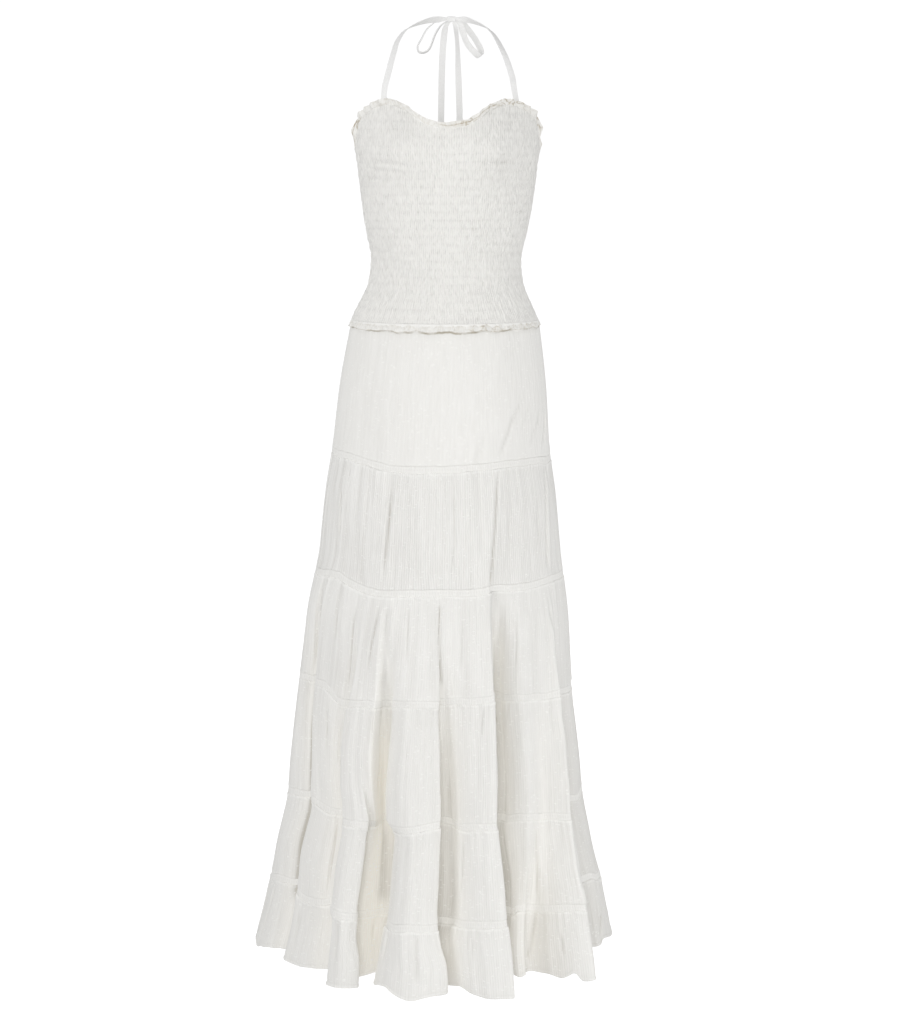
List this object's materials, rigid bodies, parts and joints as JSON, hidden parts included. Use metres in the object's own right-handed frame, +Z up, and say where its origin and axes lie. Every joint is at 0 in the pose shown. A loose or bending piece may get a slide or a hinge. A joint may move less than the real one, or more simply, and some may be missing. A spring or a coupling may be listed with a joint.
{
  "type": "maxi dress",
  "caption": "Full-length halter dress, filled out as worn: smocked sweetheart bodice, hip yoke, gathered tiers joined by lace insertion, hem ruffle and a bow at the nape.",
  "frame": {"origin": "the nape of the neck, where the halter passes behind the wearer's neck just inside the bow's knot", "axes": "+Z up, -Y the way the dress's front faces, +X to the right of someone who faces the front"},
  "size_m": [0.578, 0.5376, 1.4618],
  "materials": {
    "smocked_cotton": "white elasticated cotton in fine gathered rows",
    "yoke_cotton": "plain white cotton with a soft diagonal grain",
    "tier_cotton": "white crinkled cotton gathered at its top edge",
    "lace": "narrow off-white cotton ladder lace",
    "tie_cotton": "white cotton tie, pressed flat"
  },
  "bodies": {
    "root": {"bodice_front": "smocked_cotton", "bodice_back": "smocked_cotton", "yoke_front": "yoke_cotton", "yoke_back": "yoke_cotton", "tier_1_front": "tier_cotton", "tier_1_back": "tier_cotton", "tier_2_front": "tier_cotton", "tier_2_back": "tier_cotton", "tier_3_front": "tier_cotton", "tier_3_back": "tier_cotton", "tier_4_front": "tier_cotton", "tier_4_back": "tier_cotton", "hem_ruffle_front": "tier_cotton", "hem_ruffle_back": "tier_cotton", "top_frill": "smocked_cotton", "hip_frill": "smocked_cotton", "lace_1": "lace", "lace_2": "lace", "lace_3": "lace", "lace_4": "lace", "lace_5": "lace", "strap_left": "tie_cotton", "strap_right": "tie_cotton", "bow_knot": "tie_cotton", "bow_loop_left": "tie_cotton", "bow_loop_right": "tie_cotton", "tie_tail_left": "tie_cotton", "tie_tail_right": "tie_cotton"}
  },
  "joints": []
}
